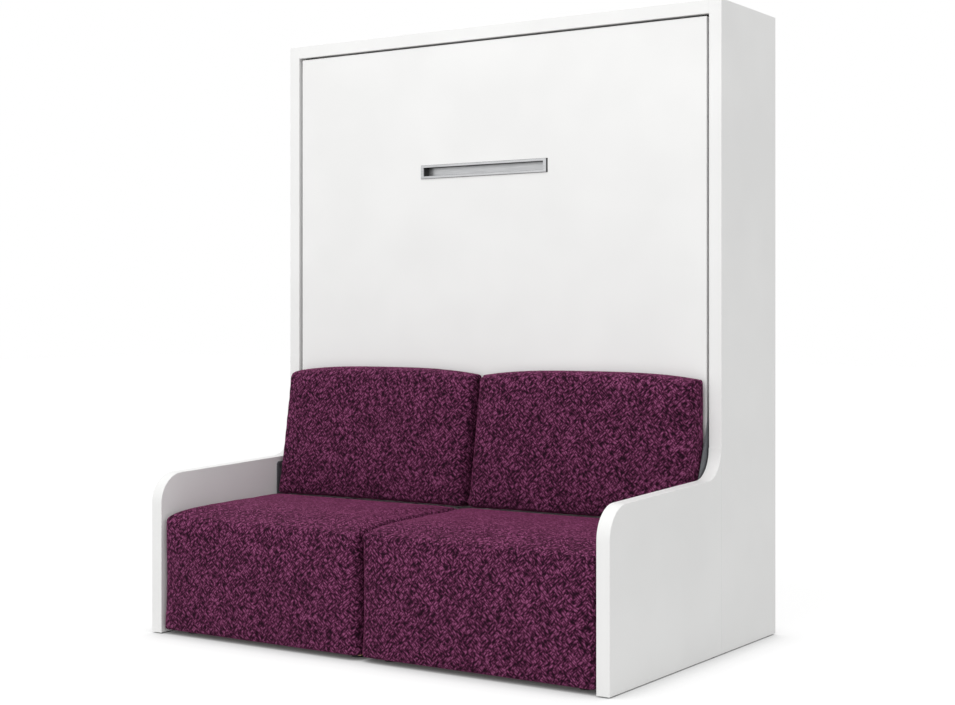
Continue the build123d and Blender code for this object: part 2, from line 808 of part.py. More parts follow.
# Wedge section of a back cushion in the YZ plane, flat at the back.
def cushion_section(x, draw):
    z0 = cushion_bottom + draw * 0.5
    z1 = cushion_top - draw
    y_low = front - cushion_bottom_reach + draw
    y_high = front - cushion_top_reach + draw
    lean = atan2(y_high - y_low, z1 - z0)
    r0, r1 = cushion_bottom_radius, cushion_top_radius
    a = (y_low + r0, z0)
    b = (y_low + r0 * (1 - sin(radians(45))), z0 + r0 * (1 - cos(radians(45))))
    c = (y_low + r0 * (1 - cos(lean)), z0 + r0 * (1 + sin(lean)))
    top_turn = radians(90) - lean
    centre = (y_high + r1, z1 - r1)
    d = (centre[0] - r1 * cos(lean), centre[1] + r1 * sin(lean))
    e = (centre[0] - r1 * cos(lean + top_turn / 2), centre[1] + r1 * sin(lean + top_turn / 2))
    f = (centre[0], z1)
    middle = ((c[0] + d[0]) / 2 - cushion_bulge * cos(lean), (c[1] + d[1]) / 2)
    top_back, bottom_back = (cushion_back, z1), (cushion_back, z0)
    edges = [ThreePointArc(a, b, c), ThreePointArc(c, middle, d), ThreePointArc(d, e, f),
             Line(f, top_back), Line(top_back, bottom_back), Line(bottom_back, a)]
    return Pos(x, 0, 0) * (Plane.YZ * make_face(Curve() + edges))


def back_cushion():
    return padded_form(cushion_middle_gap, cushion_outer, cushion_edge_run, cushion_draw_in,
                       cushion_side_crown, cushion_section)


def cushion_board():
    return block(cushion_middle_gap + board_margin, cushion_outer - board_margin,
                 cushion_back, cushion_back + board_thickness,
                 cushion_bottom + board_margin, cushion_top - board_margin)


def hook_strips():
    y0 = door_y - tape_thickness
    inset = board_margin + tape_inset
    x0 = cushion_middle_gap + inset
    x1 = cushion_outer - inset
    zs = (cushion_bottom + inset, cushion_top - inset - tape_width)
    return [block(x0, x1, y0, door_y, z, z + tape_width) for z in zs]


def both(shapes):
    return list(shapes) + [mirrored(shape) for shape in shapes]


def main():
    os.makedirs("parts", exist_ok=True)
    save_pair("side_panel", side_panel())
    save("top_panel", top_panel())
    save_pair("back_panel", back_panel())
    save("back_joint_strip", back_joint_strip())
    wall_rail = cross_rail(inner_rail_y, under_top - wall_rail_height, wall_rail_height, wall_rail_dowels)
    save("wall_rail", cut_from(wall_rail, wall_holes()))
    lower_rail = cross_rail(inner_rail_y, lower_rail_bottom, lower_rail_height, lower_rail_dowels)
    save("lower_rear_rail", lower_rail)
    save("plinth_rail", cross_rail(plinth_y, cabinet_glide_height, plinth_height, plinth_dowels))
    save("sofa_rail", sofa_rail())
    save_pair("arm_panel", arm_panel())
    save("panel_dowels", *both(cabinet_dowels + sofa_dowels))
    save("arm_connectors", *both(arm_connectors))
    save("cabinet_glides", *cabinet_glides())
    save_pair("pivot_plate", pivot_plate())
    save("pivot_pins", *both([pivot_pin()]))
    save("plate_screws", *both(plate_screws))
    save("strut_brackets", *both([strut_bracket()]))
    save("door_stops", *both([door_stop()]))
    save("seat_carcass_right", *seat_carcass())
    save("seat_carcass_left", *[mirrored(board) for board in seat_carcass()])
    save_pair("seat_upholstery", seat_upholstery())
    save("seat_feet", *both(seat_feet()))
    save("seat_bolts", *both(seat_bolts()))

    save("front_panel", front_panel())
    save("handle_rim", handle_rim())
    save("handle_tray", handle_tray())
    save("handle_plate", handle_plate())
    save_pair("bed_side_rail", bed_side_rail())
    save("bed_head_rail", end_rail(frame_bottom))
    save("bed_foot_rail", end_rail(frame_top - rail_width))
    save("bed_centre_rail", centre_rail())
    slats, holders = slats_and_holders()
    save("slats", *slats)
    save("slat_holders", *holders)
    save("mattress", mattress())
    strap_places = (mattress_bottom + strap_inset, mattress_bottom + mattress_length - strap_inset)
    save("mattress_straps", *[mattress_strap(z) for z in strap_places])
    save_pair("pivot_arm", pivot_arm())
    save("pivot_bushes", *both([pivot_bush()]))
    save("arm_spacers", *both(arm_spacers()))
    save("arm_bolts", *both(arm_bolts()))
    save("panel_screws", *both(panel_screws()))
    save("leg_studs", *both([leg_stud()]))
    save("strut_lugs", *both([strut_lug()]))
    save_pair("back_cushion", back_cushion())
    save("cushion_boards", *both([cushion_board()]))
    save("hook_strips", *both(hook_strips()))
    save_pair("leg", leg())
    save_pair("leg_foot", leg_foot())
    save_pair("strut_cylinder", strut_cylinder())
    save_pair("strut_rod", strut_rod())
    print("cabinet front plane y", front, "pivot y", pivot_y, "z", pivot_height)
    print("strut top", strut_top, "stroke", round(strut_stroke, 3), "swing", round(strut_swing, 4),
          "angle", round(strut_angle, 4), "length", round(strut_length, 3))
    print("leg hinge y", frame_mid, "z", leg_hinge_height, "drop", leg_drop)


main()
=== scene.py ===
import json
import math
import time

import bpy
import bmesh
import numpy as np
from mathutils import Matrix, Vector


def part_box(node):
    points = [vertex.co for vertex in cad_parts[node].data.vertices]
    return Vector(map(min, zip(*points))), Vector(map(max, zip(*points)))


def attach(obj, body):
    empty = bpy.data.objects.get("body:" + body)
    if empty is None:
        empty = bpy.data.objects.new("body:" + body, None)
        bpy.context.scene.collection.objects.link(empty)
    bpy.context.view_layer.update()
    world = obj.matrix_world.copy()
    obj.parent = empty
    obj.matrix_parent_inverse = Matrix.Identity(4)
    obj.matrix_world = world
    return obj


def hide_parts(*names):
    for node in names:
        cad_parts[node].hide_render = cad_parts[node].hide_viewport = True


# A white wall bed, folded up, with a plum two-seat sofa in front of it.
# Everything is in metres. X runs across, +Y to the wall, +Z up.

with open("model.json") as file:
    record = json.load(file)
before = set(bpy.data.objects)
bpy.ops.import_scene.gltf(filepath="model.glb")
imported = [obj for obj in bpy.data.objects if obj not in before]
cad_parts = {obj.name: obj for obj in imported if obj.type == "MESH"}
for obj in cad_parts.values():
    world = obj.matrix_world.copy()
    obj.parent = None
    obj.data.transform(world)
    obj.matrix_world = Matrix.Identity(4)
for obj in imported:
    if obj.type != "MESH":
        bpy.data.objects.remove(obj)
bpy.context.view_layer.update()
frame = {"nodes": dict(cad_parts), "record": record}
nodes = frame["nodes"]
scene = bpy.context.scene
print("loaded", len(nodes), "nodes")


# Colours and shader nodes

def linear(hexColour):
    parts = [int(hexColour[i:i + 2], 16) / 255 for i in (1, 3, 5)]
    return tuple(c / 12.92 if c <= 0.04045 else ((c + 0.055) / 1.055) ** 2.4 for c in parts) + (1.0,)


def addNode(tree, kind, settings={}, inputs={}):
    node = tree.nodes.new("ShaderNode" + kind)
    for name, value in settings.items():
        if name == "stops":                     # colour ramp: (place, colour) pairs
            ramp = node.color_ramp
            while len(ramp.elements) < len(value):
                ramp.elements.new(0.5)
            for element, (place, colour) in zip(ramp.elements, value):
                element.position = place
                element.color = linear(colour)
        else:
            setattr(node, name, value)
    for key, value in inputs.items():
        if isinstance(value, bpy.types.NodeSocket):
            tree.links.new(value, node.inputs[key])
        else:
            node.inputs[key].default_value = value
    return node


def newMaterial(name):
    material = bpy.data.materials.new(name)
    material.use_nodes = True
    tree = material.node_tree
    shader = tree.nodes["Principled BSDF"]
    return material, tree, shader


def patternPer(millimetres):
    return 1000.0 / millimetres                 # texture scale that gives features this large


def wavePer(millimetres):
    return patternPer(millimetres) / 20         # along X the wave turns one radian in this length


def noise(tree, place, millimetres, detail):
    return addNode(tree, "TexNoise", inputs={"Vector": place, "Scale": patternPer(millimetres),
                                             "Detail": detail})


def varyRoughness(tree, shader, value, low, high):
    gloss = addNode(tree, "MapRange", inputs={"Value": value, "To Min": low, "To Max": high})
    tree.links.new(gloss.outputs["Result"], shader.inputs["Roughness"])


def emboss(tree, shader, height, distance, strength, invert=False):
    bump = addNode(tree, "Bump", {"invert": invert},
                   {"Height": height, "Distance": distance, "Strength": strength})
    tree.links.new(bump.outputs["Normal"], shader.inputs["Normal"])


# Satin lacquer sprayed on fibreboard: even white, with a trace of orange peel
def satinLacquer():
    look = {"light": "#F3F3F2", "dark": "#EFEFEE", "cloud": 350, "peel": 4, "peelHeight": 0.00002}
    material, tree, shader = newMaterial("satinWhiteLacquer")
    place = addNode(tree, "TexCoord").outputs["Object"]
    cloud = noise(tree, place, look["cloud"], 2)
    tone = addNode(tree, "ValToRGB", {"stops": [(0.35, look["dark"]), (0.65, look["light"])]},
                   {"Fac": cloud.outputs["Fac"]})
    tree.links.new(tone.outputs["Color"], shader.inputs["Base Color"])
    peel = noise(tree, place, look["peel"], 1)
    varyRoughness(tree, shader, peel.outputs["Fac"], 0.36, 0.44)
    emboss(tree, shader, peel.outputs["Fac"], look["peelHeight"], 0.5)
    return material


# Melamine-faced chipboard inside the cabinet: warmer, flatter white with a fine pearl grain
def melamineBoard():
    look = {"light": "#EAE9E5", "dark": "#E3E2DD", "grain": 2.5}
    material, tree, shader = newMaterial("whiteMelamineBoard")
    place = addNode(tree, "TexCoord").outputs["Object"]
    grain = noise(tree, place, look["grain"], 3)
    tone = addNode(tree, "ValToRGB", {"stops": [(0.3, look["dark"]), (0.7, look["light"])]},
                   {"Fac": grain.outputs["Fac"]})
    tree.links.new(tone.outputs["Color"], shader.inputs["Base Color"])
    shader.inputs["Roughness"].default_value = 0.55
    emboss(tree, shader, grain.outputs["Fac"], 0.00003, 0.6)
    return material


# Powder coat on steel tube and plate, with the fine leather-like texture of the baked powder
speckleSize = 1.6


def powderCoat(name, light, dark, roughness):
    material, tree, shader = newMaterial(name)
    place = addNode(tree, "TexCoord").outputs["Object"]
    speckle = noise(tree, place, speckleSize, 3)
    tone = addNode(tree, "ValToRGB", {"stops": [(0.35, dark), (0.65, light)]},
                   {"Fac": speckle.outputs["Fac"]})
    tree.links.new(tone.outputs["Color"], shader.inputs["Base Color"])
    shader.inputs["Roughness"].default_value = roughness
    emboss(tree, shader, speckle.outputs["Fac"], 0.0001, 0.7)
    return material


# Bare metals: a tint that drifts over a few centimetres, and a turned or rolled micro-scratch
driftSize = 30
glossSpread = 0.06


def bareMetal(name, light, dark, roughness, scratch):
    material, tree, shader = newMaterial(name)
    place = addNode(tree, "TexCoord").outputs["Object"]
    drift = noise(tree, place, driftSize, 2)
    tone = addNode(tree, "ValToRGB", {"stops": [(0.3, dark), (0.7, light)]}, {"Fac": drift.outputs["Fac"]})
    tree.links.new(tone.outputs["Color"], shader.inputs["Base Color"])
    shader.inputs["Metallic"].default_value = 1.0
    fine = noise(tree, place, scratch, 2)
    varyRoughness(tree, shader, fine.outputs["Fac"], roughness - glossSpread, roughness + glossSpread)
    return material


# Aluminium strip, brushed along its length and clear anodised: streaks run along X
def brushedAluminium():
    look = {"light": "#D6D7D8", "dark": "#B9BABC", "streak": 1.2, "stretch": 0.02}
    material, tree, shader = newMaterial("brushedAnodisedAluminium")
    place = addNode(tree, "TexCoord").outputs["Object"]
    along = addNode(tree, "Mapping", inputs={"Vector": place, "Scale": (look["stretch"], 1, 1)})
    streak = noise(tree, along.outputs["Vector"], look["streak"], 3)
    tone = addNode(tree, "ValToRGB", {"stops": [(0.3, look["dark"]), (0.7, look["light"])]},
                   {"Fac": streak.outputs["Fac"]})
    tree.links.new(tone.outputs["Color"], shader.inputs["Base Color"])
    shader.inputs["Metallic"].default_value = 1.0
    varyRoughness(tree, shader, streak.outputs["Fac"], 0.28, 0.42)
    emboss(tree, shader, streak.outputs["Fac"], 0.00003, 0.6)
    return material


# Moulded ABS and rubber: near black, with the sandy grain of a spark-eroded mould
def mouldedBlack(name, colour, roughness, grainSize):
    material, tree, shader = newMaterial(name)
    place = addNode(tree, "TexCoord").outputs["Object"]
    grain = noise(tree, place, grainSize, 2)
    varyRoughness(tree, shader, grain.outputs["Fac"], roughness - 0.08, roughness + 0.08)
    shader.inputs["Base Color"].default_value = linear(colour)
    emboss(tree, shader, grain.outputs["Fac"], 0.00006, 0.6)
    return material


# Laminated beech slats: pale pink-brown, straight grain along X with short darker flecks
def laminatedBeech():
    look = {"light": "#DDBC92", "dark": "#C49A6C", "fleck": "#A97C50", "grain": 5, "fleckSize": 1.6,
            "grainStretch": 0.05, "fleckStretch": 0.12}
    material, tree, shader = newMaterial("laminatedBeech")
    place = addNode(tree, "TexCoord").outputs["Object"]
    along = addNode(tree, "Mapping", inputs={"Vector": place, "Scale": (look["grainStretch"], 1, 1)})
    grain = noise(tree, along.outputs["Vector"], look["grain"], 4)
    tone = addNode(tree, "ValToRGB", {"stops": [(0.3, look["dark"]), (0.7, look["light"])]},
                   {"Fac": grain.outputs["Fac"]})
    fleckPlace = addNode(tree, "Mapping", inputs={"Vector": place, "Scale": (look["fleckStretch"], 1, 1)})
    fleck = noise(tree, fleckPlace.outputs["Vector"], look["fleckSize"], 2)
    share = addNode(tree, "MapRange", inputs={"Value": fleck.outputs["Fac"], "From Min": 0.6,
                                              "From Max": 0.75})
    mixed = addNode(tree, "Mix", {"data_type": "RGBA"},
                    {0: share.outputs["Result"], 6: tone.outputs["Color"], 7: linear(look["fleck"])})
    tree.links.new(mixed.outputs[2], shader.inputs["Base Color"])
    shader.inputs["Roughness"].default_value = 0.45
    emboss(tree, shader, grain.outputs["Fac"], 0.0001, 0.4)
    return material


# Raw birch plywood: straight grain along X under broad diagonal stripes
def rawPlywood():
    look = {"light": "#D9BC92", "dark": "#B08A5C", "grain": 9, "stretch": 0.08, "stripe": 3,
            "stripeShare": 0.25}
    material, tree, shader = newMaterial("rawBirchPlywood")
    place = addNode(tree, "TexCoord").outputs["Object"]
    along = addNode(tree, "Mapping", inputs={"Vector": place, "Scale": (look["stretch"], 1, 1)})
    grain = noise(tree, along.outputs["Vector"], look["grain"], 4)
    stripe = addNode(tree, "TexWave", {"bands_direction": "DIAGONAL"},
                     {"Vector": place, "Scale": wavePer(look["stripe"]), "Distortion": 0.4})
    both = addNode(tree, "Math", {"operation": "MULTIPLY_ADD"},
                   {0: stripe.outputs["Fac"], 1: look["stripeShare"], 2: grain.outputs["Fac"]})
    tone = addNode(tree, "ValToRGB", {"stops": [(0.35, look["dark"]), (0.85, look["light"])]},
                   {"Fac": both.outputs["Value"]})
    tree.links.new(tone.outputs["Color"], shader.inputs["Base Color"])
    shader.inputs["Roughness"].default_value = 0.7
    return material


# Upholstery tweed: short diagonal dashes of mauve yarn on dark plum; each dash darkens towards its border,
# down to near-black, as painted shade in the hollows between yarns.
# The real yarns are about 1.5 mm thick; the dashes are drawn 6 mm apart, the finest that still shows.
def plumTweed():
    look = {"dashLength": 17.0, "dashWidth": 6.0, "fleck": 4.5, "patch": 30, "cloud": 80, "height": 0.0010,
            "hollowShade": -1.1, "level": 0.62, "yarnShare": 0.45, "fleckShare": 0.22,
            "gapShade": "#1E0917", "dark": "#3C172E", "yarn": "#582643", "slub": "#8A4A70"}
    material, tree, shader = newMaterial("plumTweed")
    uv = addNode(tree, "TexCoord").outputs["UV"]
    tones, hollowShades = [], []
    for angle in (45, -45):
        turn = addNode(tree, "Mapping", {"vector_type": "TEXTURE"},
                       {"Vector": uv, "Rotation": (0, 0, math.radians(angle)),
                        "Scale": (look["dashLength"] / 1000, look["dashWidth"] / 1000, 1)})
        dash = addNode(tree, "TexVoronoi", {"voronoi_dimensions": "2D"},
                       {"Vector": turn.outputs["Vector"], "Scale": 1.0, "Randomness": 0.8})
        pick = addNode(tree, "SeparateColor", inputs={"Color": dash.outputs["Color"]})
        tones.append(pick.outputs["Red"])
        hollowShades.append(dash.outputs["Distance"])
    chooser = addNode(tree, "TexNoise", {"noise_dimensions": "2D"},
                      {"Vector": uv, "Scale": patternPer(look["patch"]), "Detail": 1})
    which = addNode(tree, "MapRange", inputs={"Value": chooser.outputs["Fac"], "From Min": 0.48,
                                              "From Max": 0.52})
    tone = addNode(tree, "Mix", inputs={0: which.outputs["Result"], 2: tones[0], 3: tones[1]})
    hollowShade = addNode(tree, "Mix", inputs={0: which.outputs["Result"], 2: hollowShades[0], 3: hollowShades[1]})
    fleck = addNode(tree, "TexVoronoi", {"voronoi_dimensions": "2D"},
                    {"Vector": uv, "Scale": patternPer(look["fleck"]), "Randomness": 0.9})
    fleckTone = addNode(tree, "SeparateColor", inputs={"Color": fleck.outputs["Color"]})
    # Painted shade: the colour level drops with the distance from each dash's centre, darkest in the gaps
    # between yarns
    ridge = addNode(tree, "Math", {"operation": "MULTIPLY_ADD"},
                    {0: hollowShade.outputs[0], 1: look["hollowShade"], 2: look["level"]})
    slub = addNode(tree, "Math", {"operation": "MULTIPLY_ADD"},
                   {0: tone.outputs[0], 1: look["yarnShare"], 2: ridge.outputs["Value"]})
    level = addNode(tree, "Math", {"operation": "MULTIPLY_ADD"},
                    {0: fleckTone.outputs["Green"], 1: look["fleckShare"], 2: slub.outputs["Value"]})
    colour = addNode(tree, "ValToRGB", {"stops": [(0.15, look["gapShade"]), (0.38, look["dark"]),
                                                  (0.62, look["yarn"]), (0.95, look["slub"])]},
                     {"Fac": level.outputs["Value"]})
    cloud = addNode(tree, "TexNoise", {"noise_dimensions": "2D"},
                    {"Vector": uv, "Scale": patternPer(look["cloud"]), "Detail": 2})
    shade = addNode(tree, "MapRange", inputs={"Value": cloud.outputs["Fac"], "From Min": 0.3,
                                              "From Max": 0.7, "To Min": 0.88, "To Max": 1.12})
    shaded = addNode(tree, "VectorMath", {"operation": "SCALE"},
                     {0: colour.outputs["Color"], "Scale": shade.outputs["Result"]})
    tree.links.new(shaded.outputs["Vector"], shader.inputs["Base Color"])
    shader.inputs["Roughness"].default_value = 0.9
    shader.inputs["Specular IOR Level"].default_value = 0.08
    shader.inputs["Sheen Weight"].default_value = 0.30
    shader.inputs["Sheen Roughness"].default_value = 0.4
    shader.inputs["Sheen Tint"].default_value = linear("#D0609C")
    emboss(tree, shader, level.outputs["Value"], look["height"], 0.7)
    return material


# Knitted mattress ticking: off-white, with the small ribs of a double jersey
def knittedTicking():
    look = {"light": "#EEEDE8", "dark": "#D9D7D0", "rib": 5}
    material, tree, shader = newMaterial("knittedTicking")
    uv = addNode(tree, "TexCoord").outputs["UV"]
    rib = addNode(tree, "TexVoronoi", {"voronoi_dimensions": "2D"},
                  {"Vector": uv, "Scale": patternPer(look["rib"]), "Randomness": 0.3})
    tone = addNode(tree, "ValToRGB", {"stops": [(0.1, look["light"]), (0.7, look["dark"])]},
                   {"Fac": rib.outputs["Distance"]})
    tree.links.new(tone.outputs["Color"], shader.inputs["Base Color"])
    shader.inputs["Roughness"].default_value = 0.85
    shader.inputs["Sheen Weight"].default_value = 0.2
    emboss(tree, shader, rib.outputs["Distance"], 0.0004, 0.7, invert=True)
    return material


# Elastic webbing: black, with broad shallow ribs across the strap
def blackWebbing():
    look = {"light": "#26262A", "dark": "#0C0C0E", "rib": 2.5}
    material, tree, shader = newMaterial("blackElasticWebbing")
    place = addNode(tree, "TexCoord").outputs["Object"]
    rib = addNode(tree, "TexWave", {"bands_direction": "X"},
                  {"Vector": place, "Scale": wavePer(look["rib"]), "Distortion": 0.6})
    tone = addNode(tree, "ValToRGB", {"stops": [(0.2, look["dark"]), (0.8, look["light"])]},
                   {"Fac": rib.outputs["Fac"]})
    tree.links.new(tone.outputs["Color"], shader.inputs["Base Color"])
    shader.inputs["Roughness"].default_value = 0.8
    emboss(tree, shader, rib.outputs["Fac"], 0.0003, 0.6)
    return material


finishes = {
    "white_lacquer": satinLacquer(),
    "white_board": melamineBoard(),
    "grey_steel": powderCoat("greyPowderCoat", "#6A6C70", "#56585C", 0.5),
    "zinc_steel": bareMetal("zincPlatedSteel", "#C3C6C9", "#A6A9AD", 0.34, 0.8),
    "bronze": bareMetal("sinteredBronze", "#B58B55", "#8F6A3C", 0.45, 0.6),
    "brushed_aluminium": brushedAluminium(),
    "black_plastic": mouldedBlack("mouldedBlackAbs", "#17181A", 0.5, 0.8),
    "black_rubber": mouldedBlack("mouldedBlackRubber", "#101011", 0.8, 1.2),
    "beech": laminatedBeech(),
    "plywood": rawPlywood(),
    "plum_tweed": plumTweed(),
    "mattress_ticking": knittedTicking(),
    "black_webbing": blackWebbing(),
    "strut_black": powderCoat("blackTubePaint", "#1B1C1E", "#121314", 0.3),
    "strut_chrome": bareMetal("hardChromeRod", "#D8DADC", "#C2C4C7", 0.12, 2.0),
}
for part in frame["record"]["subparts"]:
    mesh = nodes[part["node"]].data
    mesh.materials.clear()
    mesh.materials.append(finishes[part["material_slot"]])


# Modelling helpers

near = 0.001                                    # a corner this close to a plane lies on it
alongAxis = 0.9                                 # a normal with this much of an axis looks along it


def deselectAll():
    if bpy.context.object and bpy.context.object.mode != "OBJECT":
        bpy.ops.object.mode_set(mode="OBJECT")
    bpy.ops.object.select_all(action="DESELECT")


def takeUp(piece):
    deselectAll()
    piece.select_set(True)
    bpy.context.view_layer.objects.active = piece


def blockOut(name, low, high):
    deselectAll()
    middle = [(a + b) / 2 for a, b in zip(low, high)]
    bpy.ops.mesh.primitive_cube_add(size=1, location=middle, scale=[b - a for a, b in zip(low, high)])
    piece = bpy.context.object
    piece.name = name
    bpy.ops.object.transform_apply(location=True, rotation=True, scale=True)
    return piece


# In edit mode, selects the corners that pass the test, and the edges and faces between them.
def selectWhere(piece, test):
    takeUp(piece)
    bpy.ops.object.mode_set(mode="EDIT")
    bpy.ops.mesh.select_mode(type="VERT")
    bpy.ops.mesh.select_all(action="DESELECT")
    form = bmesh.from_edit_mesh(piece.data)
    for corner in form.verts:
        corner.select = test(corner.co)
    form.select_flush(True)
    bmesh.update_edit_mesh(piece.data)


# In edit mode, selects the faces that pass the test.
def selectFaces(piece, test):
    takeUp(piece)
    bpy.ops.object.mode_set(mode="EDIT")
    bpy.ops.mesh.select_mode(type="FACE")
    bpy.ops.mesh.select_all(action="DESELECT")
    form = bmesh.from_edit_mesh(piece.data)
    form.normal_update()
    for face in form.faces:
        face.select = test(face.normal)
    bmesh.update_edit_mesh(piece.data)


def bevelWhere(piece, test, width, segments):
    selectWhere(piece, test)
    bpy.ops.mesh.bevel(offset=width, segments=segments, profile=0.5, affect="EDGES")
    bpy.ops.object.mode_set(mode="OBJECT")


def moveWhere(piece, test, shift):
    selectWhere(piece, test)
    bpy.ops.transform.translate(value=shift)
    bpy.ops.object.mode_set(mode="OBJECT")


def applyModifier(piece, name, kind, **settings):
    takeUp(piece)
    modifier = piece.modifiers.new(name, kind)
    for key, value in settings.items():
        setattr(modifier, key, value)
    bpy.ops.object.modifier_apply(modifier=modifier.name)


def coordinates(mesh):
    flat = np.empty(len(mesh.vertices) * 3)
    mesh.vertices.foreach_get("co", flat)
    return flat.reshape(-1, 3)


def setCoordinates(mesh, points):
    mesh.vertices.foreach_set("co", points.reshape(-1))
    mesh.update()


def normalsOf(mesh):
    flat = np.empty(len(mesh.vertices) * 3)
    mesh.vertex_normals.foreach_get("vector", flat)
    return flat.reshape(-1, 3)


# Soft pieces: the cover starts a little small, is filled by pressure, and may travel a few millimetres.
cover = {"quality": 3, "mass": 0.3, "smoothing": 3}


def fillCover(piece, look, held):
    started = time.time()
    takeUp(piece)
    bpy.ops.object.mode_set(mode="EDIT")
    bpy.ops.mesh.select_all(action="SELECT")
    bpy.ops.transform.shrink_fatten(value=-look["drawIn"])
    bpy.ops.object.mode_set(mode="OBJECT")
    piece.data.remesh_voxel_size = look["voxel"]
    bpy.ops.object.voxel_remesh()
    start = coordinates(piece.data)
    group = piece.vertex_groups.new(name="held")
    group.add([int(i) for i in np.nonzero(held(start))[0]], 1.0, "ADD")
    cloth = piece.modifiers.new("cover", "CLOTH")
    cloth.settings.quality = cover["quality"]
    cloth.settings.mass = cover["mass"]
    cloth.settings.use_pressure = True
    cloth.settings.uniform_pressure_force = look["pressure"]
    cloth.settings.effector_weights.gravity = 0
    cloth.settings.vertex_group_mass = "held"
    cloth.point_cache.frame_start = 1
    cloth.point_cache.frame_end = look["frames"]
    for step in range(1, look["frames"] + 1):
        scene.frame_set(step)
    filled = piece.evaluated_get(bpy.context.evaluated_depsgraph_get()).to_mesh()
    travel = coordinates(filled) - start
    length = np.maximum(np.linalg.norm(travel, axis=1, keepdims=True), 1e-9)
    travel *= look["cap"] * (1 - np.exp(-length / look["yield"])) / length
    piece.modifiers.remove(cloth)
    piece.vertex_groups.remove(group)
    scene.frame_set(1)
    setCoordinates(piece.data, start + travel)
    print("  filled", piece.name, len(start), "points in", round(time.time() - started, 1), "s")


def finishCover(piece):
    applyModifier(piece, "even", "SMOOTH", factor=0.5, iterations=cover["smoothing"])
    applyModifier(piece, "fine", "SUBSURF", levels=1, render_levels=1)
    takeUp(piece)
    bpy.ops.object.shade_smooth()


def unfold(piece, slide=(0.0, 0.0)):
    takeUp(piece)
    bpy.ops.object.mode_set(mode="EDIT")
    bpy.ops.mesh.select_all(action="SELECT")
    bpy.ops.uv.cube_project(cube_size=1.0)
    bpy.ops.object.mode_set(mode="OBJECT")
    layer = piece.data.uv_layers.active.data
    flat = np.empty(len(layer) * 2)
    layer.foreach_get("uv", flat)
    layer.foreach_set("uv", (flat.reshape(-1, 2) + np.array(slide)).reshape(-1))


# A sewn seam in the plane x = place: the cloth dips along it.
def sewSeam(piece, place, where, depth, width):
    points = coordinates(piece.data)
    dip = depth * np.exp(-((points[:, 0] - place) / width) ** 2) * where(points)
    setCoordinates(piece.data, points - normalsOf(piece.data) * dip[:, None])


def dress(piece, node, body, slotName):
    piece.data.materials.clear()
    piece.data.materials.append(finishes[slotName])
    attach(piece, body)
    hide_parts(node)


# Seat: a box with a softly rounded front, its top rising to a crown past the middle
seat = {"outer": 0.8455, "inner": {"left": -0.0115, "right": -0.0075}, "front": -0.5768, "rear": 0.0095,
        "bottom": 0.013, "top": 0.399, "frontRadius": 0.026, "rearRadius": 0.024, "sideRadius": 0.014,
        "outerRadius": 0.008, "innerRadius": 0.030,
        "drawIn": 0.004, "voxel": 0.010, "pressure": 4.0, "frames": 16, "cap": 0.009, "yield": 0.030,
        "rise": ((-0.5776, 0.0), (-0.5598, 0.010), (-0.5118, 0.0212), (-0.4593, 0.0293), (-0.3706, 0.0350),
                 (-0.2317, 0.0390), (-0.0387, 0.0370), (0.0095, 0.034)),
        "riseFrom": 0.25, "held": 0.010, "seamInset": 0.038, "seamDepth": 0.0012, "seamWidth": 0.004,
        "seamFrom": 0.02, "seamTo": 0.01, "slide": {"left": (0.37, 0.11), "right": (0.0, 0.0)}}


def makeSeat(side):
    inside = seat["inner"][side]
    outside = -seat["outer"] if side == "left" else seat["outer"]
    low = Vector((min(inside, outside), seat["front"], seat["bottom"]))
    high = Vector((max(inside, outside), seat["rear"], seat["top"]))
    piece = blockOut("seatCushion_" + side, low, high)
    bevelWhere(piece, lambda p: p.y < low.y + near and p.z > high.z - near, seat["frontRadius"], 6)
    bevelWhere(piece, lambda p: p.y > high.y - near and p.z > high.z - near, seat["rearRadius"], 6)
    for end, radius in ((inside, seat["innerRadius"]), (outside, seat["outerRadius"])):
        bevelWhere(piece, lambda p: abs(p.x - end) < near and p.y < low.y + near, radius, 5)
        bevelWhere(piece, lambda p: abs(p.x - end) < near and p.z > high.z - near, seat["sideRadius"], 4)
    bend = np.array(seat["rise"])
    fillCover(piece, seat, lambda p: (p[:, 1] > high.y - seat["held"]) | (p[:, 2] < low.z + seat["held"]))
    points = coordinates(piece.data)
    share = np.clip((points[:, 2] - seat["riseFrom"]) / (high.z - seat["riseFrom"]), 0, 1)
    points[:, 2] += np.interp(points[:, 1], bend[:, 0], bend[:, 1]) * share
    setCoordinates(piece.data, points)
    finishCover(piece)

    def showing(p):
        return (p[:, 2] > low.z + seat["seamFrom"]) & (p[:, 1] < high.y - seat["seamTo"])

    for place in (low.x + seat["seamInset"], high.x - seat["seamInset"]):
        sewSeam(piece, place, showing, seat["seamDepth"], seat["seamWidth"])
    unfold(piece, seat["slide"][side])
    return piece


# Back cushion: a wedge, thick at the bottom, that leans back against the front panel
rest = {"ends": {"left": (-0.8450, -0.0120), "right": (-0.0060, 0.8380)}, "bottomReach": 0.0030,
        "topReach": 0.0800, "rear": 0.1480, "bottom": 0.4230, "top": 0.8830, "frontRadius": 0.020,
        "topRadius": 0.030, "sideRadius": 0.034, "outerRadius": 0.012, "rearRadius": 0.012,
        "drawIn": 0.004, "voxel": 0.009, "pressure": 4.0, "frames": 16, "cap": 0.010, "yield": 0.030,
        "held": 0.008, "crown": 0.022, "crownFrom": 0.65, "crownPower": 3, "seamInset": 0.012,
        "seamDepth": 0.0012, "seamWidth": 0.004, "seamTo": 0.01,
        "slide": {"left": (0.53, 0.29), "right": (0.21, 0.0)}}


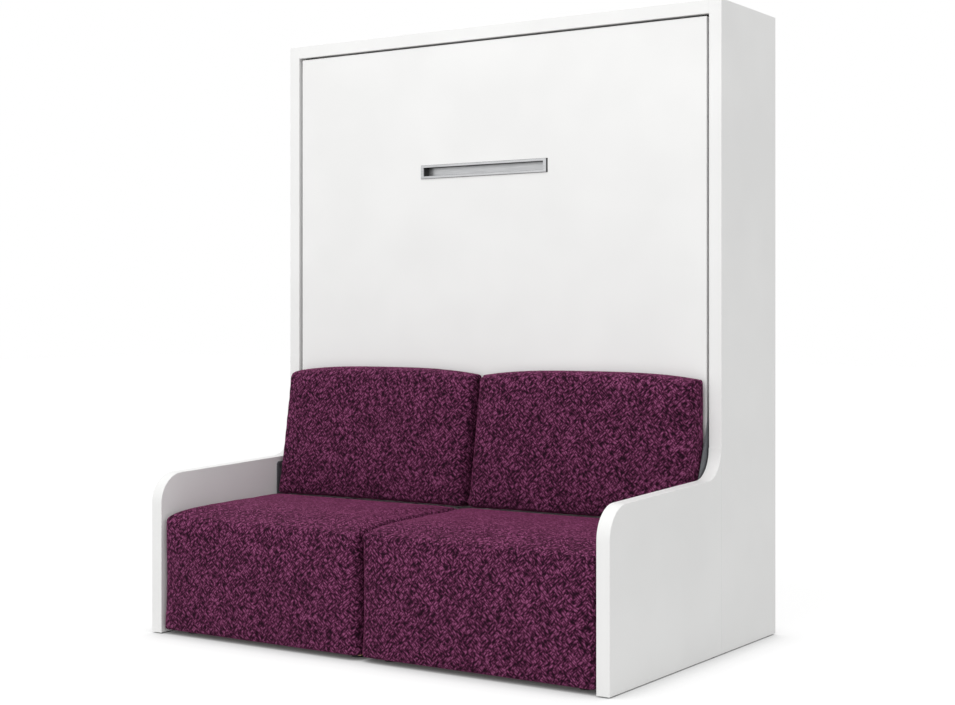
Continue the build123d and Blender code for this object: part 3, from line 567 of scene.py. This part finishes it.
def makeBackCushion(side):
    start, end = rest["ends"][side]
    low = Vector((start, rest["bottomReach"], rest["bottom"]))
    high = Vector((end, rest["rear"], rest["top"]))
    piece = blockOut("backCushion_" + side, low, high)
    moveWhere(piece, lambda p: p.y < low.y + near and p.z > high.z - near, (0, rest["topReach"] - low.y, 0))
    bevelWhere(piece, lambda p: p.y < low.y + near and p.z < low.z + near, rest["frontRadius"], 5)
    bevelWhere(piece, lambda p: p.y < rest["topReach"] + near and p.z > high.z - near, rest["topRadius"], 6)
    bevelWhere(piece, lambda p: p.y > high.y - near and p.z > high.z - near, rest["rearRadius"], 4)
    for sideX in (low.x, high.x):
        byArm = side == "left" and sideX == low.x
        radius = rest["outerRadius"] if byArm else rest["sideRadius"]
        bevelWhere(piece, lambda p: abs(p.x - sideX) < near and p.y < high.y - rest["rearRadius"] - near,
                   radius, 6)
    fillCover(piece, rest, lambda p: p[:, 1] > high.y - rest["held"])
    points = coordinates(piece.data)
    across = np.abs(2 * (points[:, 0] - low.x) / (high.x - low.x) - 1)
    upper = np.clip((points[:, 2] - rest["crownFrom"]) / (high.z - rest["crownFrom"]), 0, 1)
    points[:, 2] += rest["crown"] * (1 - across ** rest["crownPower"]) * upper
    setCoordinates(piece.data, points)
    finishCover(piece)
    for place in (low.x + rest["seamInset"], high.x - rest["seamInset"]):
        sewSeam(piece, place, lambda p: p[:, 1] < high.y - rest["seamTo"], rest["seamDepth"],
                rest["seamWidth"])
    unfold(piece, rest["slide"][side])
    return piece


# Mattress: filled to a soft edge, then quilted in diamonds on both large faces
mattress = {"drawIn": 0.004, "voxel": 0.024, "pressure": 3.0, "frames": 12, "cap": 0.007, "yield": 0.060,
            "held": 0.010, "corner": 0.06, "edge": 0.038, "quilt": 0.105, "quiltDepth": 0.004,
            "sharpness": 3}


def makeMattress():
    low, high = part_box("mattress")
    piece = blockOut("mattressBody", low, high)
    for x in (low.x, high.x):
        for z in (low.z, high.z):
            bevelWhere(piece, lambda p: abs(p.x - x) < near and abs(p.z - z) < near, mattress["corner"], 5)
    for y in (low.y, high.y):
        bevelWhere(piece, lambda p: abs(p.y - y) < near, mattress["edge"], 5)
    fillCover(piece, mattress, lambda p: p[:, 1] < low.y + mattress["held"])
    applyModifier(piece, "closer", "SUBSURF", levels=1, render_levels=1)
    finishCover(piece)
    points = coordinates(piece.data)
    pitch = mattress["quilt"]
    quilt = np.abs(np.sin(math.pi * (points[:, 0] + points[:, 2]) / pitch)
                   * np.sin(math.pi * (points[:, 0] - points[:, 2]) / pitch))
    flatness = np.abs(normalsOf(piece.data)[:, 1])
    facing = np.clip(flatness * 1.6 - 0.6, 0, 1)        # full on the large faces, none on the borders
    dip = mattress["quiltDepth"] * (1 - np.clip(quilt * mattress["sharpness"], 0, 1)) * facing
    setCoordinates(piece.data, points - normalsOf(piece.data) * dip[:, None])
    unfold(piece)
    return piece


for side in ("left", "right"):
    dress(makeSeat(side), "seat_upholstery_" + side, "cabinet", "plum_tweed")
    dress(makeBackCushion(side), "back_cushion_" + side, "bed", "plum_tweed")
print("seats and back cushions filled")
dress(makeMattress(), "mattress", "bed", "mattress_ticking")
print("mattress filled")


# Straps: elastic webbing over the mattress, from one side rail to the other
strap = {"width": 0.040, "thickness": 0.002, "stand": 0.003, "radius": 0.048, "selvedge": 0.0005}


def makeStrap(name, middle):
    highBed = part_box("mattress")[1]
    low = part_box("mattress_straps")[0]
    half = highBed.x + strap["stand"]
    piece = blockOut(name, (-half, low.y, middle - strap["width"] / 2),
                     (half, highBed.y + strap["stand"], middle + strap["width"] / 2))
    back = highBed.y + strap["stand"] - near
    bevelWhere(piece, lambda p: p.x < 0 and p.y > back, strap["radius"], 8)
    bevelWhere(piece, lambda p: p.x > 0 and p.y > back, strap["radius"], 8)
    selectFaces(piece, lambda n: abs(n.z) > alongAxis or n.y < -alongAxis)
    bpy.ops.mesh.delete(type="FACE")
    bpy.ops.object.mode_set(mode="OBJECT")
    applyModifier(piece, "web", "SOLIDIFY", thickness=strap["thickness"], offset=-1)
    applyModifier(piece, "selvedge", "BEVEL", width=strap["selvedge"], segments=2)
    takeUp(piece)
    bpy.ops.object.shade_smooth_by_angle(angle=math.radians(40))
    piece.data.materials.append(finishes["black_webbing"])
    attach(piece, "bed")
    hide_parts("mattress_straps")


lowStraps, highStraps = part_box("mattress_straps")
makeStrap("strapLower", lowStraps.z + strap["width"] / 2)
makeStrap("strapUpper", highStraps.z - strap["width"] / 2)

# Handle: a thin black frame under the rim, standing out most at its right end, a dark sheet put there as
# painted shadow of the proud rim
rimShadowStrip = {"thickness": 0.0012, "stand": 0.0008, "rightStand": 0.0042, "border": 0.0095, "radius": 0.0004,
          "play": 0.0001}


def makeRimShadowStrip():
    lowRim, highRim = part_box("handle_rim")
    low = (lowRim.x - rimShadowStrip["stand"], highRim.y - rimShadowStrip["thickness"], lowRim.z - rimShadowStrip["stand"])
    high = (highRim.x + rimShadowStrip["rightStand"], highRim.y - rimShadowStrip["play"], highRim.z + rimShadowStrip["stand"])
    piece = blockOut("handleRimShadowStrip", low, high)
    selectFaces(piece, lambda n: abs(n.y) > alongAxis)
    bpy.ops.mesh.inset(thickness=rimShadowStrip["border"])
    bpy.ops.mesh.bridge_edge_loops()
    bpy.ops.object.mode_set(mode="OBJECT")
    applyModifier(piece, "edge", "BEVEL", width=rimShadowStrip["radius"], segments=2)
    piece.data.materials.append(finishes["black_rubber"])
    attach(piece, "bed")


makeRimShadowStrip()
print("straps and handle trim made")


# Studio: a white floor and sky, one large key in front, a top light; the floor carries a painted contact
# shadow

studio = {"ambient": 0.79, "floorSize": 60, "floor": "#D8D8D8", "floorSeen": "#8C8C8C", "floorGlow": 0.80,
          "paintedShadowReach": 0.16}
softboxes = {
    "keySoftbox": {"place": (0.6, -7.4, 2.8), "target": (0.0, -0.2, 0.9), "size": (4.0, 4.0),
                   "power": 80.0},
    "topSoftbox": {"place": (0.0, -2.4, 5.4), "target": (0.0, -0.4, 0.4), "size": (3.5, 3.0),
                   "power": 78.0},
}


def makeFloor():
    bpy.ops.mesh.primitive_plane_add(size=studio["floorSize"], location=(0, 0, 0))
    floor = bpy.context.object
    floor.name = "studioFloor"
    material, tree, shader = newMaterial("studioFloorPaint")
    shader.inputs["Base Color"].default_value = linear(studio["floor"])
    shader.inputs["Roughness"].default_value = 1.0
    shader.inputs["Specular IOR Level"].default_value = 0.0
    rays = addNode(tree, "LightPath")
    seen = addNode(tree, "Math", {"operation": "MAXIMUM"},
                   {0: rays.outputs["Is Camera Ray"], 1: rays.outputs["Is Glossy Ray"]})
    # Painted contact shadow: for camera and glossy rays the floor's glow is darkened by ambient occlusion
    # near the object
    paintedContactShadow = addNode(tree, "AmbientOcclusion", {"samples": 8}, {"Distance": studio["paintedShadowReach"]})
    tone = addNode(tree, "ValToRGB", {"stops": [(0.0, "#303030"), (0.35, "#B0B0B0"),
                                                (0.75, "#F4F4F4"), (1.0, "#FFFFFF")]},
                   {"Fac": paintedContactShadow.outputs["AO"]})
    white = addNode(tree, "Emission", inputs={"Color": tone.outputs["Color"],
                                              "Strength": studio["floorGlow"]})
    lit = addNode(tree, "BsdfDiffuse", inputs={"Color": linear(studio["floorSeen"])})
    both = addNode(tree, "AddShader", inputs={0: white.outputs["Emission"], 1: lit.outputs["BSDF"]})
    mixed = addNode(tree, "MixShader", inputs={0: seen.outputs["Value"], 1: shader.outputs["BSDF"],
                                               2: both.outputs["Shader"]})
    tree.links.new(mixed.outputs["Shader"], tree.nodes["Material Output"].inputs["Surface"])
    floor.data.materials.append(material)


def makeSky():
    world = bpy.data.worlds.new("studioSky")
    scene.world = world
    world.use_nodes = True
    tree = world.node_tree
    tree.nodes.clear()
    rays = addNode(tree, "LightPath")
    seen = addNode(tree, "Math", {"operation": "MAXIMUM"},
                   {0: rays.outputs["Is Camera Ray"], 1: rays.outputs["Is Glossy Ray"]})
    both = addNode(tree, "Math", {"operation": "MAXIMUM"},
                   {0: seen.outputs["Value"], 1: rays.outputs["Is Transmission Ray"]})
    strength = addNode(tree, "MapRange", inputs={"Value": both.outputs["Value"],
                                                 "To Min": studio["ambient"], "To Max": 1.0})
    sky = addNode(tree, "Background", inputs={"Color": (1, 1, 1, 1),
                                              "Strength": strength.outputs["Result"]})
    addNode(tree, "OutputWorld", inputs={"Surface": sky.outputs["Background"]})


def addSoftbox(name, place, target, size, power):
    light = bpy.data.lights.new(name, "AREA")
    light.shape = "RECTANGLE"
    light.size, light.size_y = size
    light.energy = power
    box = bpy.data.objects.new(name, light)
    scene.collection.objects.link(box)
    box.location = place
    box.rotation_euler = (Vector(target) - Vector(place)).to_track_quat("-Z", "Y").to_euler()
    box.visible_camera = False


makeFloor()
makeSky()
for name, box in softboxes.items():
    addSoftbox(name, **box)

# Camera: solved on the cabinet and arm corners of the photograph, which is 955 x 705 pixels
view = {"place": (3.1932, -4.6959, 1.0816), "turn": 33.711, "focalPixels": 1662.3, "horizonRow": 316.75,
        "width": 955, "height": 705, "sensor": 36.0}


def makeCamera():
    data = bpy.data.cameras.new("photoCamera")
    data.sensor_width = view["sensor"]
    data.lens = view["sensor"] * view["focalPixels"] / view["width"]
    data.shift_y = (view["horizonRow"] - view["height"] / 2) / view["width"]
    camera = bpy.data.objects.new("photoCamera", data)
    scene.collection.objects.link(camera)
    camera.location = view["place"]
    camera.rotation_euler = (math.radians(90), 0, math.radians(view["turn"]))
    scene.camera = camera


makeCamera()
scene.view_settings.view_transform = "Standard"
print("studio and camera ready")
